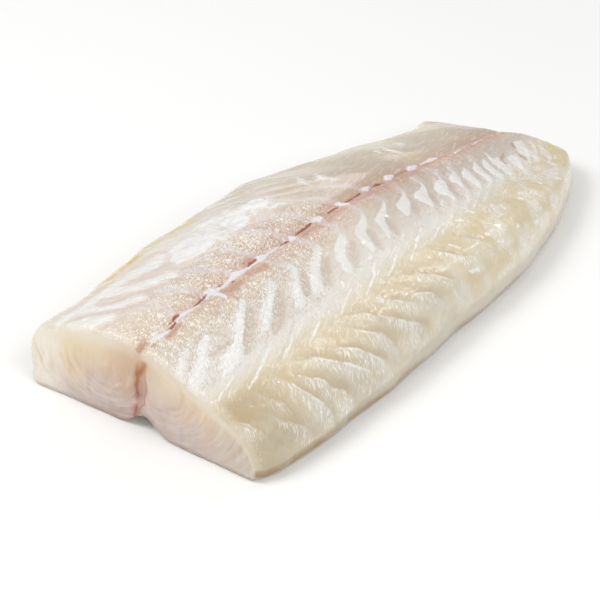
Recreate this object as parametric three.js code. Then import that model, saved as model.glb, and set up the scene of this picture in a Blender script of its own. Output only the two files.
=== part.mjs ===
// A raw, skinned cod loin lying on its skinned side: one solid of two long muscle halves.
// They meet along a midline, and folded sheets of white tissue divide them into flakes.
// Millimetres, +Z up. The thick cut end is at -X and the thin tail end at +X.
// Left (+Y) and right (-Y) are as seen from the cut end.
import * as THREE from "three";

const { clamp, lerp, smoothstep } = THREE.MathUtils;

// Driving sizes of the plan outline
const LENGTH = 193;
const LEFT_WIDTH = { cut: 38.8, widest: 43.7, tail: 28.3 };
const RIGHT_WIDTH = { cut: 39.5, widest: 46.4, tail: 25.4 };
const MIDLINE_BOW = 2.4; // how far the midline bows to the left
const MIDLINE_START = -0.6; // y of the midline at both ends
const CUT_FLARE = 1; // how far the cut's left corner stands out
const TAIL_SKEW = 7.7; // how much shorter the loin is along its left side
const TAIL_FLAP = 1.5; // how far the tail's left corner stands out sideways
const LEFT_CORNER = 2; // how much the tail's corners are cut back
const RIGHT_CORNER = 2.2;

// Where along the loin, from 0 at the cut to 1 at the tail, the outline swells and narrows
const LEFT_SWELL_END = 0.42;
const LEFT_NARROWING = { from: 0.5, to: 0.94 };
const TAIL_FLAP_FROM = 0.9;
const RIGHT_SHOULDER = 0.05; // length over which the cut's right corner rounds off
const RIGHT_NOSE = { from: 0.28, power: 4.2 };
const LEFT_RIPPLE = [
  { height: 0.5, turns: 23, phase: 2.1 },
  { height: 0.3, turns: 51, phase: 0 },
];
const RIGHT_RIPPLE = [
  { height: 0.4, turns: 19, phase: 2 },
  { height: 0.25, turns: 47, phase: 1 },
];

// Thickness at the midline, and the height of both rims as shares of it
const CUT_THICKNESS = 29;
const TAIL_THICKNESS = 10.3;
const TAPER_POWER = 2.2; // of the fall from the cut end to the tail end
const LEFT_RIM = { cut: 0.69, tail: 0.64 };
const RIGHT_RIM = { cut: 0.44, tail: 0.95 };
const LEFT_FALL = 1.9; // powers of the fall from the midline to each rim
const RIGHT_FALL = 1.25;

// Broad unevenness of soft flesh: waves with turns per mm along X and Y
const LUMPS = [
  { height: 0.315, x: 0.071, y: 0.05, phase: 1.2 },
  { height: 0.245, x: 0.11, y: -0.13, phase: 0.4 },
  { height: 0.14, x: 0.23, y: 0.19, phase: 0 },
];

// Radii of the soft edges
const LEFT_ROUND = 5.5;
const RIGHT_ROUND = { cut: 10, tail: 3.5 };
const CUT_ROUND = 2.4;
const TAIL_ROUND = 4;
const UNDER_ROUND = 1.2;
const DROP_SHARE = 0.66; // the most of the height that the upper rounds may take

// The seam between the two muscle halves
const TOP_SEAM = { depth: 1.3, halfWidth: 3 };
const FACE_SEAM = { depth: 1.8, halfWidth: 2.2 };
const UNDER_SEAM = { depth: 5.3, lastDepth: 0.6, fadeLength: 26, halfWidth: 5.2, offset: -0.8 };
const FACE_BULGE = 1.1; // of each half on the cut face
const WALL_BULGE = 0.12; // of a side wall, as a share of its height
const STRAIGHT_WALL = 0.14; // length from the cut over which the left wall starts to bulge

// Flakes: their pitch along the loin, with a stretch where they lie further to the tail
const FLAKE_PITCH = { cut: 14, tail: 6.2 };
const FIRST_FLAKE_X = -81;
const FLAKE_LAG = { most: 4.6, x: 37, halfWidth: 17 };

// Run of a tissue sheet along X for each mm from the midline, and where on the right half it bends
const LEFT_RUN = { lead: 7, start: -0.35, bend: -0.03, end: -1.6, straightFrom: 26 };
const HOOK = { lead: 6.6, run: 0.5 };
const BAR_RUN = { start: -1.9, cut: -1.2, tail: -0.42 };
const RIB_RUN = -2.8;
const FOLD_TURN = 3.85;
const BENDS = { bar: 6.5, straight: 11.5, rib: 23.5, fold: 29.8 };
const LEAN_CHANGE = { from: -35, to: 15 }; // x between which the bars stand up
const FOLD_FADE = { from: 25, to: 65, last: 0.35 }; // x between which the lower folds flatten

// Height of the flakes' relief in each band
const BAR_RIDGE = 0.6;
const RIB_RIDGE = 0.5;
const HERRINGBONE_PILLOW = 0.9;
const LEFT_PILLOW = 0.5;
const STEEP_SIDE = 0.13; // half widths of a ridge's two sides as shares of the pitch
const GENTLE_SIDE = 0.24;

// Mesh counts along, across and up; the underside takes each BASE_STEP-th line along
const ALONG = 104;
const ACROSS = 40;
const UP = 4;
const BASE_STEP = 8;
const END_CROWDING = 0.4; // closer lines at both ends
const EDGE_CROWDING = 1.3; // closer lines at both sides

const bump = (distance, halfWidth) => Math.exp(-((distance / halfWidth) ** 2));

// A slope that turns up from 0 at x = 0, rounded over a half width
function ramp(x, halfWidth) {
  if (x <= -halfWidth) return 0;
  if (x >= halfWidth) return x;
  return (x + halfWidth) ** 2 / (4 * halfWidth);
}

// How far a quarter round of this radius drops at a distance in from its edge
function roundDrop(distance, radius) {
  const q = clamp(1 - distance / radius, 0, 1);
  return radius * (1 - Math.sqrt(1 - q * q));
}

// Plan outline: u runs from 0 at the cut to 1 at the tail, v from -1 at the right to 1 at the left

const midlineY = (u) => MIDLINE_BOW * (1 - (2 * u - 1) ** 2) + MIDLINE_START;

const ripple = (u, waves) =>
  waves.reduce((sum, { height, turns, phase }) => sum + height * Math.sin(turns * u + phase), 0);

function leftEdgeY(u) {
  const { cut, widest, tail } = LEFT_WIDTH;
  const swell = (widest - cut) * smoothstep(u, 0, LEFT_SWELL_END);
  const narrowing = (widest - tail) * smoothstep(u, LEFT_NARROWING.from, LEFT_NARROWING.to);
  const flap = TAIL_FLAP * smoothstep(u, TAIL_FLAP_FROM, 1);
  return cut + swell - narrowing + flap + ripple(u, LEFT_RIPPLE);
}

function rightEdgeY(u) {
  const { cut, widest, tail } = RIGHT_WIDTH;
  const { from, power } = RIGHT_NOSE;
  const shoulder = (widest - cut) * Math.exp(-u / RIGHT_SHOULDER);
  const nose = (widest - tail) * Math.max(0, (u - from) / (1 - from)) ** power;
  return -(widest - shoulder - nose + ripple(u, RIGHT_RIPPLE));
}

const edgeY = (u, v) => (v > 0 ? leftEdgeY(u) : rightEdgeY(u));

function planPoint(u, v) {
  const left = Math.max(0, v);
  const right = Math.max(0, -v);
  const corners = (LEFT_CORNER * left ** 8 + RIGHT_CORNER * right ** 8) * u ** 8;
  const reach = LENGTH - TAIL_SKEW * smoothstep(v, -0.4, 0.5) * u ** 3 - corners;
  const flare = CUT_FLARE * left ** 3 * (1 - u) ** 12;
  return {
    x: -LENGTH / 2 + u * reach - flare,
    y: lerp(midlineY(u), edgeY(u, v), Math.abs(v)),
  };
}

// Flake pattern: each sheet of tissue is a line folded at the midline and again low on the right half.
// A shift is how far a sheet stands along X at a distance from the midline.

function leftShift(d) {
  const { lead, start, bend, end, straightFrom } = LEFT_RUN;
  return lead + start * d + bend * Math.min(d, straightFrom) ** 2 + end * Math.max(0, d - straightFrom);
}

function rightShift(x, d) {
  const barRun = lerp(BAR_RUN.cut, BAR_RUN.tail, smoothstep(x, LEAN_CHANGE.from, LEAN_CHANGE.to));
  const fold = lerp(1, FOLD_FADE.last, smoothstep(x, FOLD_FADE.from, FOLD_FADE.to));
  const hook = HOOK.lead + HOOK.run * d + (BAR_RUN.start - HOOK.run) * ramp(d - BENDS.bar, 1.5);
  const bar = (barRun - BAR_RUN.start) * ramp(d - BENDS.straight, 1.5);
  const rib = (RIB_RUN - barRun) * fold * ramp(d - BENDS.rib, 2.5);
  const turnBack = FOLD_TURN * fold * ramp(d - BENDS.fold, 1.2);
  return hook + bar + rib + turnBack;
}

// Count of flakes from the first one, with a pitch that shrinks evenly towards the tail
function flakeCount(x) {
  const shrink = (FLAKE_PITCH.cut - FLAKE_PITCH.tail) / (LENGTH / 2 - FIRST_FLAKE_X);
  const lag = FLAKE_LAG.most * bump(x - FLAKE_LAG.x, FLAKE_LAG.halfWidth);
  return -Math.log(1 - (shrink * (x - lag - FIRST_FLAKE_X)) / FLAKE_PITCH.cut) / shrink;
}

// Distances from the midline are scaled to the widest place, so that the folds follow the outline
function flakeRelief(u, v, x) {
  const d = v > 0 ? v * LEFT_WIDTH.widest : -v * RIGHT_WIDTH.widest;
  const count = flakeCount(x - (v > 0 ? leftShift(d) : rightShift(x, d)));
  const fromSheet = count - Math.round(count);
  const ridge = bump(fromSheet, fromSheet > 0 ? STEEP_SIDE : GENTLE_SIDE);
  const pillow = 0.5 - Math.abs(2 * fromSheet) ** 2.2;
  const rimFade = smoothstep(1 - Math.abs(v), 0.01, 0.12);
  if (v > 0) {
    const band = smoothstep(d, 12, 20) * (1 - smoothstep(u, 0.5, 0.65));
    return rimFade * band * LEFT_PILLOW * pillow;
  }
  const bars = BAR_RIDGE * smoothstep(d, 5, 9) * (1 - smoothstep(d, 18, 23));
  const ribs = RIB_RIDGE * smoothstep(d, 19, 23) * (1 - smoothstep(d, 28, 31));
  const herringbone = HERRINGBONE_PILLOW * smoothstep(d, 29, 33) * (1 - 0.6 * smoothstep(u, 0.6, 0.9));
  return rimFade * ((bars + ribs) * ridge + herringbone * pillow);
}

const lumps = (x, y) =>
  LUMPS.reduce((sum, wave) => sum + wave.height * Math.sin(wave.x * x + wave.y * y + wave.phase), 0);

// Heights of the upper side and of the underside above the surface that the loin lies on

function topHeight(u, v) {
  const { x, y } = planPoint(u, v);
  const crown = lerp(CUT_THICKNESS, TAIL_THICKNESS, u ** TAPER_POWER);
  const share = v > 0 ? LEFT_RIM : RIGHT_RIM;
  const rim = crown * lerp(share.cut, share.tail, u);
  const fall = Math.abs(v) ** (v > 0 ? LEFT_FALL : RIGHT_FALL);
  const seam = TOP_SEAM.depth * bump(y - midlineY(u), TOP_SEAM.halfWidth) * (1 - 0.6 * u);
  const relief = flakeRelief(u, v, x) + lumps(x, y) * smoothstep(1 - Math.abs(v), 0, 0.2);
  const height = lerp(crown, rim, fall) - seam + relief;

  const sideRadius = v > 0 ? LEFT_ROUND : lerp(RIGHT_ROUND.cut, RIGHT_ROUND.tail, u ** 3);
  const sideDrop = roundDrop(Math.abs(edgeY(u, v) - y), Math.min(sideRadius, DROP_SHARE * rim));
  const tailDrop = roundDrop((1 - u) * LENGTH, TAIL_ROUND);
  const cutDrop = roundDrop(u * LENGTH, CUT_ROUND);
  return height - Math.min(Math.hypot(sideDrop, tailDrop) + cutDrop, DROP_SHARE * height);
}

function baseHeight(u, v) {
  const { y } = planPoint(u, v);
  const sideRise = roundDrop(Math.abs(edgeY(u, v) - y), UNDER_ROUND);
  const tailRise = roundDrop((1 - u) * LENGTH, UNDER_ROUND);
  const { depth, lastDepth, fadeLength, halfWidth, offset } = UNDER_SEAM;
  const seamDepth = lastDepth + (depth - lastDepth) * Math.exp((-u * LENGTH) / fadeLength);
  const seam = seamDepth * bump(y - midlineY(u) - offset, halfWidth) - 0.1;
  return Math.max(sideRise, tailRise, seam, 0);
}

// The solid is a box of lines along, across and up, bent into the loin's form

function along(i) {
  const s = i / ALONG;
  return s - (END_CROWDING * Math.sin(2 * Math.PI * s)) / (2 * Math.PI);
}

function across(j) {
  const s = (2 * j) / ACROSS - 1;
  return Math.sign(s) * (1 - (1 - Math.abs(s)) ** EDGE_CROWDING);
}

function loinPoint(i, j, k) {
  const u = along(i);
  const v = across(j);
  const { x, y } = planPoint(u, v);
  const base = baseHeight(u, v);
  const top = topHeight(u, v);
  const belly = Math.sin((Math.PI * k) / UP);
  const seam = FACE_SEAM.depth * bump(y - midlineY(u), FACE_SEAM.halfWidth);
  const face = i === 0 ? belly * (seam - FACE_BULGE * (1 - v * v)) : 0;
  const bulge = WALL_BULGE * (v > 0 ? smoothstep(u, 0, STRAIGHT_WALL) : 1);
  const wall = j === 0 || j === ACROSS ? v * belly * bulge * (top - base) : 0;
  return new THREE.Vector3(x + face, y + wall, lerp(base, top, k / UP));
}

function loinGeometry() {
  const positions = [];
  const triangles = [];
  const known = new Map();

  const vertex = (i, j, k) => {
    const key = `${i},${j},${k}`;
    if (!known.has(key)) {
      known.set(key, known.size);
      positions.push(...loinPoint(i, j, k).toArray());
    }
    return known.get(key);
  };
  const fan = (corners) => {
    const [first, ...rest] = corners.map((corner) => vertex(...corner));
    for (let n = 0; n + 1 < rest.length; n += 1) {
      triangles.push(first, rest[n], rest[n + 1]);
    }
  };

  for (let i = 0; i < ALONG; i += 1) {
    for (let j = 0; j < ACROSS; j += 1) {
      fan([[i, j, UP], [i + 1, j, UP], [i + 1, j + 1, UP], [i, j + 1, UP]]);
    }
    for (let k = 0; k < UP; k += 1) {
      fan([[i, 0, k], [i + 1, 0, k], [i + 1, 0, k + 1], [i, 0, k + 1]]);
      fan([[i + 1, ACROSS, k], [i, ACROSS, k], [i, ACROSS, k + 1], [i + 1, ACROSS, k + 1]]);
    }
  }
  for (let j = 0; j < ACROSS; j += 1) {
    for (let k = 0; k < UP; k += 1) {
      fan([[0, j + 1, k], [0, j, k], [0, j, k + 1], [0, j + 1, k + 1]]);
      fan([[ALONG, j, k], [ALONG, j + 1, k], [ALONG, j + 1, k + 1], [ALONG, j, k + 1]]);
    }
  }
  // Underside: few lines along, with the closer lines of both side walls taken in at its edges
  for (let i = 0; i < ALONG; i += BASE_STEP) {
    const ends = [i, i + BASE_STEP];
    const steps = Array.from({ length: BASE_STEP + 1 }, (_, n) => i + n);
    for (let j = 0; j < ACROSS; j += 1) {
      const back = (j === 0 ? steps : ends).toReversed().map((n) => [n, j, 0]);
      const ahead = (j === ACROSS - 1 ? steps : ends).map((n) => [n, j + 1, 0]);
      fan(j === 0 ? [...ahead, ...back] : [...back, ...ahead]);
    }
  }

  const geometry = new THREE.BufferGeometry();
  geometry.setAttribute("position", new THREE.Float32BufferAttribute(positions, 3));
  geometry.setIndex(triangles);
  geometry.computeBoundingBox();
  const { min } = geometry.boundingBox;
  const centre = geometry.boundingBox.getCenter(new THREE.Vector3());
  geometry.translate(-centre.x, -centre.y, -min.z);
  geometry.computeVertexNormals();
  return geometry;
}

const flesh = new THREE.MeshStandardMaterial({ color: 0xeae2d3, roughness: 0.32, metalness: 0 });
const loin = new THREE.Mesh(loinGeometry(), flesh);
loin.name = "cod_loin";

const part = new THREE.Group();
part.add(loin);

export default part;
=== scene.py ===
# The looks of a raw, skinned cod loin lying on a pale floor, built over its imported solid
import math

import bpy
import numpy as np
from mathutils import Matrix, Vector


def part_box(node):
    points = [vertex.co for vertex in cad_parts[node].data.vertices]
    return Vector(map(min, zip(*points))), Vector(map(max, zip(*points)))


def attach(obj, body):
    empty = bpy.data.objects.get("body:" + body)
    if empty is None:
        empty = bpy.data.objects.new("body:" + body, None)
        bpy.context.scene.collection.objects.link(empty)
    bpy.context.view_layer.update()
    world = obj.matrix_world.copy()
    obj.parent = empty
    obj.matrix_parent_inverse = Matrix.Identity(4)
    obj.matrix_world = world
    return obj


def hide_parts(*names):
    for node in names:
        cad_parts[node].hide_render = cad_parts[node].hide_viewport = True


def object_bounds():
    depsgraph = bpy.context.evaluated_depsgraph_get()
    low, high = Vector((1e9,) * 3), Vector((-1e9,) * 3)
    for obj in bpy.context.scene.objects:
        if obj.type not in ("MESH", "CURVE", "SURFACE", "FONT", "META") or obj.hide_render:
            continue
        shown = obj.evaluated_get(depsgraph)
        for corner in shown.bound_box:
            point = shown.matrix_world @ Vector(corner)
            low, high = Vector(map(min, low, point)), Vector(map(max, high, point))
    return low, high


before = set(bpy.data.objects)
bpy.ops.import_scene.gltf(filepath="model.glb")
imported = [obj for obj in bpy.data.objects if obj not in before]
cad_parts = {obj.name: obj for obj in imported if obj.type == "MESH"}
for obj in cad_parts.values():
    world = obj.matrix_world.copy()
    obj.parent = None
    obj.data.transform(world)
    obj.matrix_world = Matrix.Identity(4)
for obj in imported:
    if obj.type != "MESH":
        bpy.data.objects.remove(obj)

NODE = "cod_loin"
MM = 0.001
cad_low, cad_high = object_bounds()

# Form of the solid in millimetres: u runs from 0 at the cut to 1 at the tail,
# v from -1 at the right rim to 1 at the left rim
LENGTH = 193.0
LEFT_WIDTH = {"cut": 38.8, "widest": 43.7, "tail": 28.3}
RIGHT_WIDTH = {"cut": 39.5, "widest": 46.4, "tail": 25.4}
MIDLINE_BOW = 2.4
MIDLINE_START = -0.6
CUT_FLARE = 1.0
TAIL_SKEW = 7.7
TAIL_SKEW_ACROSS = (-0.4, 0.5)
CORNER_POWER = 8
TAIL_FLAP = 1.5
LEFT_CORNER = 2.0
RIGHT_CORNER = 2.2
LEFT_SWELL_END = 0.42
LEFT_NARROWING = (0.5, 0.94)
TAIL_FLAP_FROM = 0.9
RIGHT_SHOULDER = 0.05
RIGHT_NOSE = {"start": 0.28, "power": 4.2}
LEFT_RIPPLE = ((0.5, 23, 2.1), (0.3, 51, 0.0))  # height, rate and phase of each wave
RIGHT_RIPPLE = ((0.4, 19, 2.0), (0.25, 47, 1.0))
CUT_THICKNESS = 29.0
TAIL_THICKNESS = 10.3
TAPER_POWER = 2.2
LEFT_RIM = (0.69, 0.64)  # rim heights as shares of the midline's, at the cut and at the tail
RIGHT_RIM = (0.44, 0.95)
LEFT_FALL = 1.9
RIGHT_FALL = 1.25
LUMPS = ((0.315, 0.071, 0.05, 1.2), (0.245, 0.11, -0.13, 0.4), (0.14, 0.23, 0.19, 0.0))
LEFT_ROUND = 5.5
RIGHT_ROUND = (10.0, 3.5)
CUT_ROUND = 2.4
TAIL_ROUND = 4.0
UNDER_ROUND = 1.2
DROP_SHARE = 0.66
TOP_SEAM = {"depth": 1.3, "half_width": 3.0, "thinning": 0.6}
FACE_SEAM = {"depth": 1.8, "half_width": 2.2, "y": -0.75, "lean": -0.09, "z": 10, "heights": (8, 27)}
UNDER_SEAM = {
    "depth": 5.3, "last_depth": 0.6, "fade_length": 26.0, "half_width": 5.2, "offset": -0.8, "lift": 0.1,
}
CUT_EDGE = {"height": 0.35, "length": 1.5, "rate": 0.22}  # wavy lower edge of the cut
FACE_BULGE = 1.1
FACE_RAGGED = ((0.5, 0.3, 0.35, 5), (0.35, 0.8, 0.7, 0))  # height, rates along y and z, and shift
WALL_UNEVEN = (0.5, 0.25, 0.3)  # height, and rates along x and z
WALL_BULGE = 0.12
STRAIGHT_WALL = 0.14

# Tissue sheets that divide the flesh into flakes
FLAKE_PITCH = (14.0, 6.2)  # at the cut and at the tail
FIRST_FLAKE_X = -81.0
FLAKE_LAG = {"most": 4.6, "x": 37.0, "half_width": 17.0}
LEFT_RUN = {"lead": 7.0, "start": -0.35, "bend": -0.03, "end": -1.6, "straight_from": 26.0}
HOOK = {"lead": 6.6, "run": 0.5}
BAR_RUN = {"start": -1.9, "cut": -1.2, "tail": -0.42}
RIB_RUN = -2.8
FOLD_TURN = 3.85
BENDS = {"bar": 6.5, "straight": 11.5, "rib": 23.5, "fold": 29.8}
BEND_ROUND = {"bar": 1.5, "straight": 1.5, "rib": 2.5, "fold": 1.2}
LEAN_CHANGE = (-35.0, 15.0)
FOLD_FADE = {"start": 25.0, "end": 65.0, "last": 0.35}
BAR_RIDGE = 0.15
RIB_RIDGE = 0.2
HERRINGBONE_PILLOW = 0.3
LEFT_PILLOW = 0.2
STEEP_SIDE = 0.13
GENTLE_SIDE = 0.24
PILLOW_POWER = 2.2
BAR_BAND = (5, 9, 18, 23)  # rises and falls at these distances from the midline
RIB_BAND = (19, 23, 28, 31)
HERRINGBONE_FROM = (29, 33)
HERRINGBONE_FADE = {"loss": 0.85, "u": (0.45, 0.7)}
LEFT_PILLOW_BAND = (12, 20)
LEFT_PILLOW_FADE = (0.5, 0.65)
RIM_CALM = (0.01, 0.12)
LUMP_FADE = 0.2
SHRINK = (FLAKE_PITCH[0] - FLAKE_PITCH[1]) / (LENGTH / 2 - FIRST_FLAKE_X)

OUTSIDE = -9.0  # depth given to points far outside all markings

# Mesh counts along, across and up; the underside takes each BASE_STEP-th line along
ALONG = 420
ACROSS = 184
UP = 12
BASE_STEP = 20
END_CROWDING = 0.25
MIDLINE_CROWDING = 0.45
EDGE_CROWDING = 0.35
CROWDING_REACH = 0.12

SEED = 11
LATTICE_SIZE = 256
LATTICE = np.random.default_rng(SEED).uniform(-1, 1, (LATTICE_SIZE, LATTICE_SIZE))


def lerp(a, b, t):
    return a + (b - a) * t


def smoothstep(x, low, high):
    t = np.clip((x - low) / (high - low), 0, 1)
    return t * t * (3 - 2 * t)


def bump(distance, half_width):
    return np.exp(-((distance / half_width) ** 2))


def band(x, rise, full, fall, end):
    return smoothstep(x, rise, full) * (1 - smoothstep(x, fall, end))


def ramp(x, half_width):
    rounded = (x + half_width) ** 2 / (4 * half_width)
    return np.where(x <= -half_width, 0, np.where(x >= half_width, x, rounded))


def round_drop(distance, radius):
    q = np.clip(1 - distance / radius, 0, 1)
    return radius * (1 - np.sqrt(1 - q * q))


def noise(x, y):
    """Smooth noise from -1 to 1 with one bump for each unit."""
    i = np.floor(x).astype(int)
    j = np.floor(y).astype(int)
    s = smoothstep(x - i, 0, 1)
    t = smoothstep(y - j, 0, 1)
    left, right, low, high = (k % LATTICE_SIZE for k in (i, i + 1, j, j + 1))
    below = lerp(LATTICE[left, low], LATTICE[right, low], s)
    above = lerp(LATTICE[left, high], LATTICE[right, high], s)
    return lerp(below, above, t)


# Form

def waves(u, ripple):
    return sum(height * np.sin(rate * u + phase) for height, rate, phase in ripple)


def midline_y(u):
    return MIDLINE_BOW * (1 - (2 * u - 1) ** 2) + MIDLINE_START


def left_edge_y(u):
    width = LEFT_WIDTH
    swell = (width["widest"] - width["cut"]) * smoothstep(u, 0, LEFT_SWELL_END)
    narrowing = (width["widest"] - width["tail"]) * smoothstep(u, *LEFT_NARROWING)
    flap = TAIL_FLAP * smoothstep(u, TAIL_FLAP_FROM, 1)
    return width["cut"] + swell - narrowing + flap + waves(u, LEFT_RIPPLE)


def right_edge_y(u):
    width = RIGHT_WIDTH
    start = RIGHT_NOSE["start"]
    shoulder = (width["widest"] - width["cut"]) * np.exp(-u / RIGHT_SHOULDER)
    nose = (width["widest"] - width["tail"]) * np.maximum(0, (u - start) / (1 - start)) ** RIGHT_NOSE["power"]
    return -(width["widest"] - shoulder - nose + waves(u, RIGHT_RIPPLE))


def edge_y(u, v):
    return np.where(v > 0, left_edge_y(u), right_edge_y(u))


def plan(u, v):
    left = np.maximum(0, v)
    right = np.maximum(0, -v)
    corners = (LEFT_CORNER * left ** CORNER_POWER + RIGHT_CORNER * right ** CORNER_POWER) * u ** CORNER_POWER
    reach = LENGTH - TAIL_SKEW * smoothstep(v, *TAIL_SKEW_ACROSS) * u ** 3 - corners
    flare = CUT_FLARE * left ** 3 * (1 - u) ** 12
    return -LENGTH / 2 + u * reach - flare, lerp(midline_y(u), edge_y(u, v), np.abs(v))


def from_midline(v):
    """Distance from the midline, scaled to the widest place."""
    return np.abs(v) * np.where(v > 0, LEFT_WIDTH["widest"], RIGHT_WIDTH["widest"])


def left_shift(d):
    run = LEFT_RUN
    bent = np.minimum(d, run["straight_from"])
    return run["lead"] + run["start"] * d + run["bend"] * bent ** 2 + run["end"] * (d - bent)


def right_shift(x, d):
    bar_run = lerp(BAR_RUN["cut"], BAR_RUN["tail"], smoothstep(x, *LEAN_CHANGE))
    fold = lerp(1, FOLD_FADE["last"], smoothstep(x, FOLD_FADE["start"], FOLD_FADE["end"]))
    past = {name: ramp(d - place, BEND_ROUND[name]) for name, place in BENDS.items()}
    hook = HOOK["lead"] + HOOK["run"] * d + (BAR_RUN["start"] - HOOK["run"]) * past["bar"]
    bar = (bar_run - BAR_RUN["start"]) * past["straight"]
    rib = (RIB_RUN - bar_run) * fold * past["rib"]
    turn_back = FOLD_TURN * fold * past["fold"]
    return hook + bar + rib + turn_back


def flake_count(x):
    lag = FLAKE_LAG["most"] * bump(x - FLAKE_LAG["x"], FLAKE_LAG["half_width"])
    return -np.log(1 - SHRINK * (x - lag - FIRST_FLAKE_X) / FLAKE_PITCH[0]) / SHRINK


def flakes(v, x):
    d = from_midline(v)
    return flake_count(x - np.where(v > 0, left_shift(d), right_shift(x, d)))


def flake_relief(u, v, x):
    d = from_midline(v)
    count = flakes(v, x)
    from_sheet = count - np.round(count)
    ridge = bump(from_sheet, np.where(from_sheet > 0, STEEP_SIDE, GENTLE_SIDE))
    pillow = 0.5 - np.abs(2 * from_sheet) ** PILLOW_POWER
    left = LEFT_PILLOW * smoothstep(d, *LEFT_PILLOW_BAND) * (1 - smoothstep(u, *LEFT_PILLOW_FADE)) * pillow
    ridges = BAR_RIDGE * band(d, *BAR_BAND) + RIB_RIDGE * band(d, *RIB_BAND)
    fade = 1 - HERRINGBONE_FADE["loss"] * smoothstep(u, *HERRINGBONE_FADE["u"])
    herringbone = HERRINGBONE_PILLOW * smoothstep(d, *HERRINGBONE_FROM) * fade
    right = ridges * ridge + herringbone * pillow
    return smoothstep(1 - np.abs(v), *RIM_CALM) * np.where(v > 0, left, right)


def top_height(u, v, fine=0.0):
    x, y = plan(u, v)
    crown = lerp(CUT_THICKNESS, TAIL_THICKNESS, u ** TAPER_POWER)
    rim = crown * np.where(v > 0, lerp(*LEFT_RIM, u), lerp(*RIGHT_RIM, u))
    fall = np.abs(v) ** np.where(v > 0, LEFT_FALL, RIGHT_FALL)
    seam = TOP_SEAM["depth"] * bump(y - midline_y(u), TOP_SEAM["half_width"]) * (1 - TOP_SEAM["thinning"] * u)
    lumps = sum(height * np.sin(a * x + b * y + phase) for height, a, b, phase in LUMPS)
    relief = flake_relief(u, v, x) + lumps * smoothstep(1 - np.abs(v), 0, LUMP_FADE) + fine
    height = lerp(crown, rim, fall) - seam + relief
    side_radius = np.where(v > 0, LEFT_ROUND, lerp(*RIGHT_ROUND, u ** 3))
    side_drop = round_drop(np.abs(edge_y(u, v) - y), np.minimum(side_radius, DROP_SHARE * rim))
    tail_drop = round_drop((1 - u) * LENGTH, TAIL_ROUND)
    cut_drop = round_drop(u * LENGTH, CUT_ROUND)
    return height - np.minimum(np.hypot(side_drop, tail_drop) + cut_drop, DROP_SHARE * height)


def base_height(u, v):
    y = plan(u, v)[1]
    seam = UNDER_SEAM
    side_rise = round_drop(np.abs(edge_y(u, v) - y), UNDER_ROUND)
    tail_rise = round_drop((1 - u) * LENGTH, UNDER_ROUND)
    fade = np.exp(-u * LENGTH / seam["fade_length"])
    depth = seam["last_depth"] + (seam["depth"] - seam["last_depth"]) * fade
    groove = depth * bump(y - midline_y(u) - seam["offset"], seam["half_width"]) - seam["lift"]
    wave = CUT_EDGE["height"] * (1 + noise(y * CUT_EDGE["rate"], u + 3))
    cut_rise = wave * np.exp(-u * LENGTH / CUT_EDGE["length"])
    return np.maximum(np.maximum(side_rise, tail_rise), np.maximum(groove, 0)) + cut_rise


# Markings of the upper side, in millimetres: strokes are runs of (x, y, half width), blades are outlines

BLOOD_STROKES = (
    ((-84.6, -0.9, 0.3), (-83.2, -1.3, 0.55), (-81.2, -0.8, 0.45), (-80.2, -0.3, 0.25)),
    ((-82, 0.4, 0.2), (-80, 0.6, 0.35), (-78.5, 1, 0.5), (-77.3, 0.9, 0.3)),
    ((-72, 0.5, 0.15), (-70, 0.6, 0.3), (-67, 1, 0.28), (-63.8, 1.5, 0.15)),
    ((-58.2, 1.5, 0.25), (-57.2, 1.8, 0.15)),
    ((-44.3, 1.6, 0.2), (-42.8, 2, 0.45), (-41.2, 2, 0.4), (-39.5, 2.2, 0.15)),
    ((-28.6, 1.8, 0.2), (-27, 1.8, 0.35), (-25.6, 1.5, 0.45), (-25.1, 1.5, 0.25)),
    ((-20.8, 1.9, 0.25), (-17, 2.1, 0.42), (-13.5, 2.5, 0.42), (-11.9, 2.6, 0.25)),
    ((-6.6, 1.2, 0.3), (-5.8, 1.5, 0.2)),
    ((-3.6, 2.3, 0.25), (-1, 2.3, 0.38), (0.9, 2.1, 0.25)),
    ((4.9, 2, 0.25), (8, 1.9, 0.42), (11, 2, 0.42), (13.3, 2.4, 0.25)),
    ((20.3, 2.4, 0.15), (22.5, 2.3, 0.32), (24.5, 1.9, 0.28), (25.5, 1.8, 0.15)),
    ((-54.2, -0.4, 0.3), (-53.8, -0.4, 0.3)),
)
RUST_STROKES = (
    ((-93.4, -3.4, 0.6), (-92.5, -3, 0.8)),
    ((-96.4, 0, 0.4), (-95.4, -0.5, 0.5)),
    ((32, 2.2, 0.3), (35, 2.4, 0.5), (38.5, 2.3, 0.3)),
    ((46, 0.9, 0.3), (49, 0.4, 0.7), (51.5, 0, 0.4)),
    ((54.5, 0.2, 0.3), (58, -0.6, 0.4)),
    ((69.8, -2.9, 0.3), (71.2, -2.2, 0.4), (73.5, -1.4, 0.2)),
    ((69.2, -14.6, 0.25), (71, -13.6, 0.5), (73.4, -12.6, 0.2)),
    ((69, -14.6, 0.25), (67.6, -17.4, 0.25)),
    ((77.6, -15, 0.3), (76.6, -18, 0.8), (75.6, -20.2, 0.3)),
    ((84, -9.2, 0.25), (82, -11, 0.45), (80.4, -12.8, 0.2)),
)
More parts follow.
